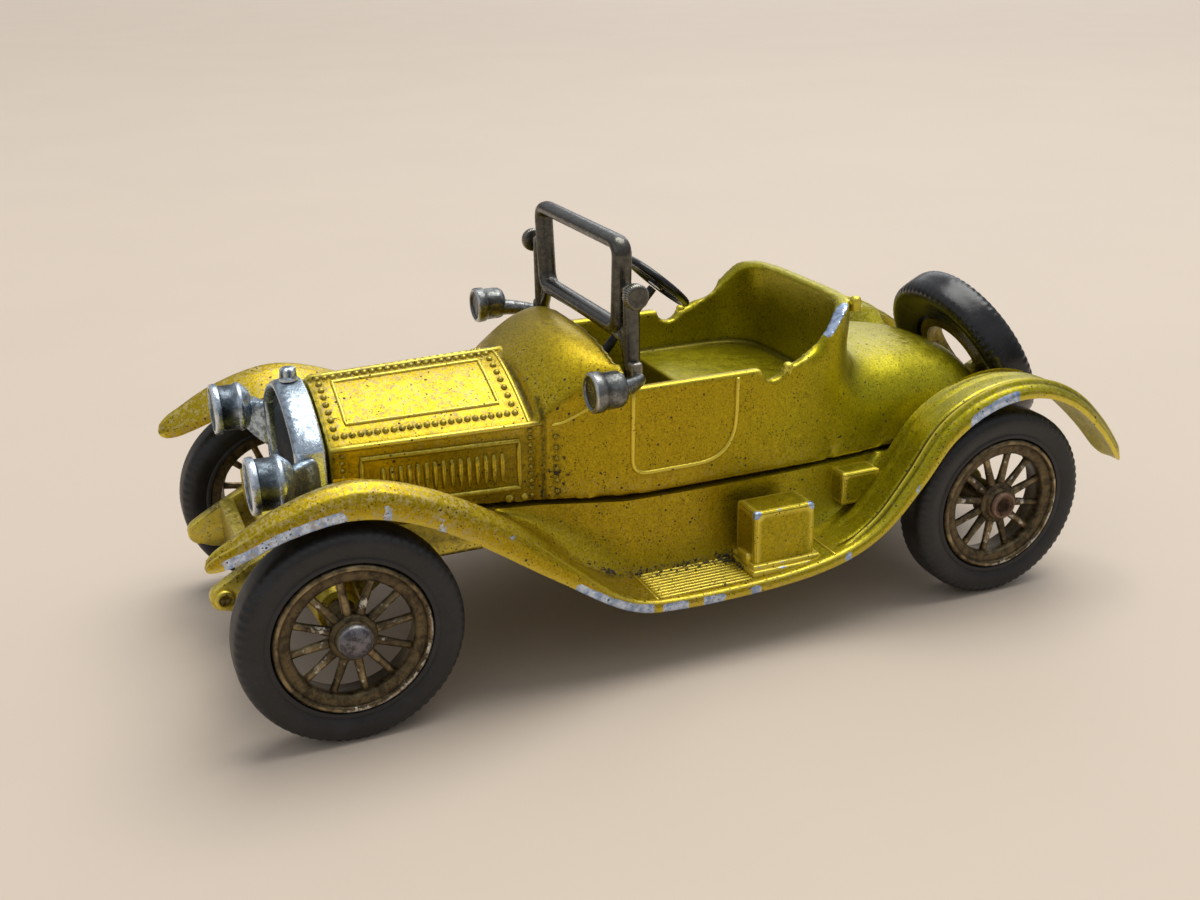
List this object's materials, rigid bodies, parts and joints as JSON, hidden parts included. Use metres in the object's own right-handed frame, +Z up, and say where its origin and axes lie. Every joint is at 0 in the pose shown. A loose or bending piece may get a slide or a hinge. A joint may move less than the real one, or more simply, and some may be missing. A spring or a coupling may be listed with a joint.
{
  "type": "diecast collector car",
  "caption": "Small diecast model of an open vintage roadster with spoked wheels that turn, a windscreen frame, lamps and a tail-mounted spare.",
  "frame": {"origin": "on the ground under the middle of the car", "axes": "+Z up, the bonnet points to -Y, the car's left side is +X; seen along +Y from the front"},
  "size_m": [0.0386, 0.0902, 0.0379],
  "materials": {
    "paint": "metallic candy lime-gold, worn to bare zinc on the edges",
    "plated": "bright vacuum plating, mottled with age",
    "dark_core": "dark, satin",
    "gunmetal": "dark antique plating, semi-gloss",
    "brass": "antique brass plating, dulled",
    "tyre": "satin",
    "black_plastic": "gloss",
    "steel": "plain wire, headed ends"
  },
  "bodies": {
    "car": {"body_casting": "paint", "chassis_casting": "paint", "spare_carrier": "paint", "radiator_shell": "plated", "radiator_cap": "plated", "headlamp_left": "plated", "headlamp_right": "plated", "radiator_core": "dark_core", "windscreen_frame": "gunmetal", "windscreen_knob_left": "gunmetal", "windscreen_knob_right": "gunmetal", "side_lamp_left": "gunmetal", "side_lamp_right": "gunmetal", "steering_wheel": "black_plastic", "steering_column": "black_plastic", "spare_tyre": "black_plastic", "front_axle": "steel", "rear_axle": "steel", "body_rivet_front": "steel", "body_rivet_rear": "steel"},
    "front_left_wheel": {"front_wheel_left": "brass", "front_tyre_left": "tyre"},
    "front_right_wheel": {"front_wheel_right": "brass", "front_tyre_right": "tyre"},
    "rear_left_wheel": {"rear_wheel_left": "brass", "rear_tyre_left": "tyre"},
    "rear_right_wheel": {"rear_wheel_right": "brass", "rear_tyre_right": "tyre"}
  },
  "joints": [
    {"name": "front_left_wheel_spin", "type": "hinge", "parent": "car", "child": "front_left_wheel", "pos_m": [0.0165, -0.03413, 0.00946], "axis": [1, 0, 0], "continuous": true},
    {"name": "front_right_wheel_spin", "type": "hinge", "parent": "car", "child": "front_right_wheel", "pos_m": [-0.0165, -0.03413, 0.00946], "axis": [1, 0, 0], "continuous": true},
    {"name": "rear_left_wheel_spin", "type": "hinge", "parent": "car", "child": "rear_left_wheel", "pos_m": [0.0161, 0.02987, 0.00946], "axis": [1, 0, 0], "continuous": true},
    {"name": "rear_right_wheel_spin", "type": "hinge", "parent": "car", "child": "rear_right_wheel", "pos_m": [-0.0161, 0.02987, 0.00946], "axis": [1, 0, 0], "continuous": true}
  ]
}
